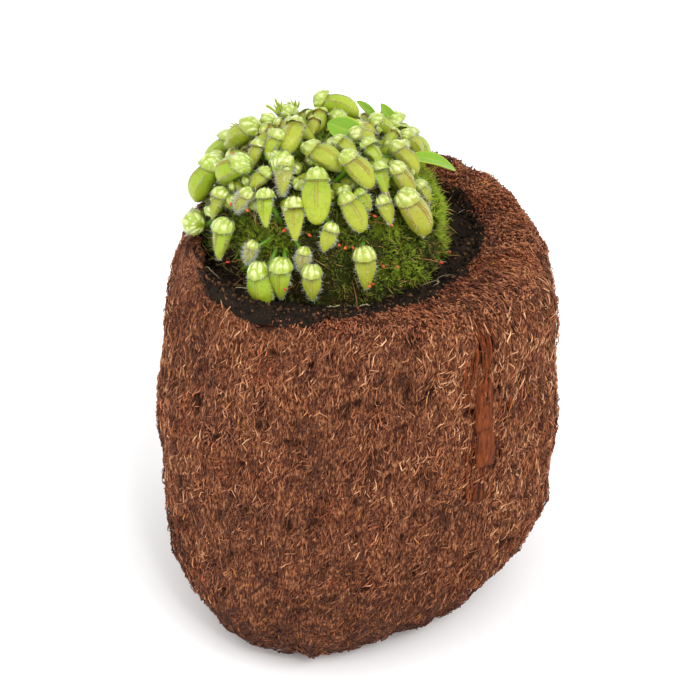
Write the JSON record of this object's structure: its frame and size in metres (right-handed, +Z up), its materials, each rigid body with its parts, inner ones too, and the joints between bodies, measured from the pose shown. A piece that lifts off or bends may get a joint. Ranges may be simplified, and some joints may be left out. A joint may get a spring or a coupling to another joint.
{
  "type": "albany pitcher plant in a fibre block",
  "caption": "Small carnivorous pitcher plant with lidded green pitchers on a moss mound, growing in peat in a hollowed block of tree-fern root fibre that serves as its pot.",
  "frame": {"origin": "on the floor, under the middle of the part's outline", "axes": "+Z up along the block's height, -Y to the front that the picture shows, +X to the right"},
  "size_m": [0.1682, 0.1711, 0.2172],
  "materials": {
    "root_fibre": "matted curly brown root fibre, matt, with tan highlights",
    "peat": "moist dark crumbly peat, matt",
    "moss": "fine velvety moss, bright green to olive brown",
    "leaf": "fleshy yellow-green leaf, satin, with pale windows in the lids"
  },
  "bodies": {
    "root": {"fibre_block": "root_fibre", "peat": "peat", "moss_mound": "moss", "crown_top": "leaf", "crown_left": "leaf", "crown_left_low": "leaf", "crown_front_left": "leaf", "crown_front": "leaf", "crown_low": "leaf", "crown_right": "leaf", "crown_right_top": "leaf", "crown_back_left": "leaf", "crown_back_right": "leaf"}
  },
  "joints": []
}
